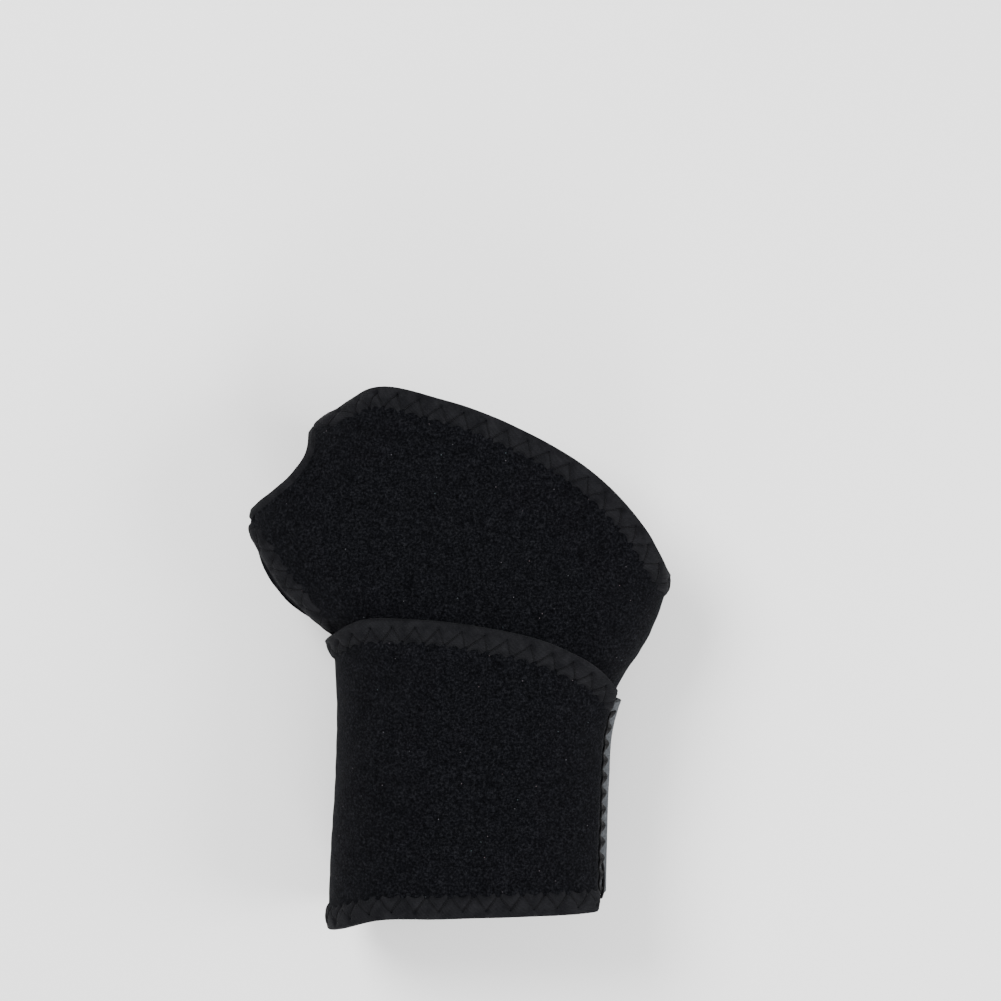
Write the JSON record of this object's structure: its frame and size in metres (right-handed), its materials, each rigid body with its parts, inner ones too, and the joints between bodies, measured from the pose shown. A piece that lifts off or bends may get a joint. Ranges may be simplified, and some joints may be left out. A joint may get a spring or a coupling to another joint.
{
  "type": "wraparound wrist support brace",
  "caption": "Black wraparound wrist support brace with a thumb hole, a wrist strap over a sloping hand panel, bound edges and a hook-and-loop tab.",
  "frame": {"origin": "on the surface it rests on, at the flattened middle of the palm band, under the axis of the wrist and half way along the wrist strap", "axes": "+X towards the little-finger side, +Y towards the fingers, +Z towards the back of the hand"},
  "size_m": [0.1179, 0.1502, 0.0508],
  "materials": {
    "cover_pile": "matte black loop-pile knit",
    "foam": "closed-cell rubber foam",
    "lining_jersey": "smooth black jersey",
    "binding_knit": "puffy black knit binding, turned over the edge",
    "tab_weave": "grey woven nylon tape",
    "hook_field": "field of moulded nylon hooks",
    "thread": "black sewing thread"
  },
  "bodies": {
    "wrap": {"hand_cover": "cover_pile", "hand_foam": "foam", "hand_lining": "lining_jersey", "palm_cover": "cover_pile", "palm_foam": "foam", "palm_lining": "lining_jersey", "hand_finger_binding": "binding_knit", "hand_wrist_binding": "binding_knit", "flap_binding": "binding_knit", "thumb_hole_hem": "binding_knit", "palm_finger_binding": "binding_knit", "palm_arm_binding": "binding_knit"},
    "strap": {"strap_cover": "cover_pile", "strap_foam": "foam", "strap_lining": "lining_jersey", "strap_finger_binding": "binding_knit", "strap_arm_binding": "binding_knit", "tab_stitching": "thread"},
    "tab": {"tab_backing": "tab_weave", "tab_hooks": "hook_field"}
  },
  "joints": [
    {"name": "strap_unwrap", "type": "hinge", "parent": "wrap", "child": "strap", "pos_m": [-0.0426, 0, 0.031], "axis": [0, -1, 0], "range_deg": [0, 150]},
    {"name": "tab_peel", "type": "hinge", "parent": "strap", "child": "tab", "pos_m": [0.0376, -0.0043, 0.0365], "axis": [-0.0636, -0.998, 0], "range_deg": [0, 100]}
  ]
}
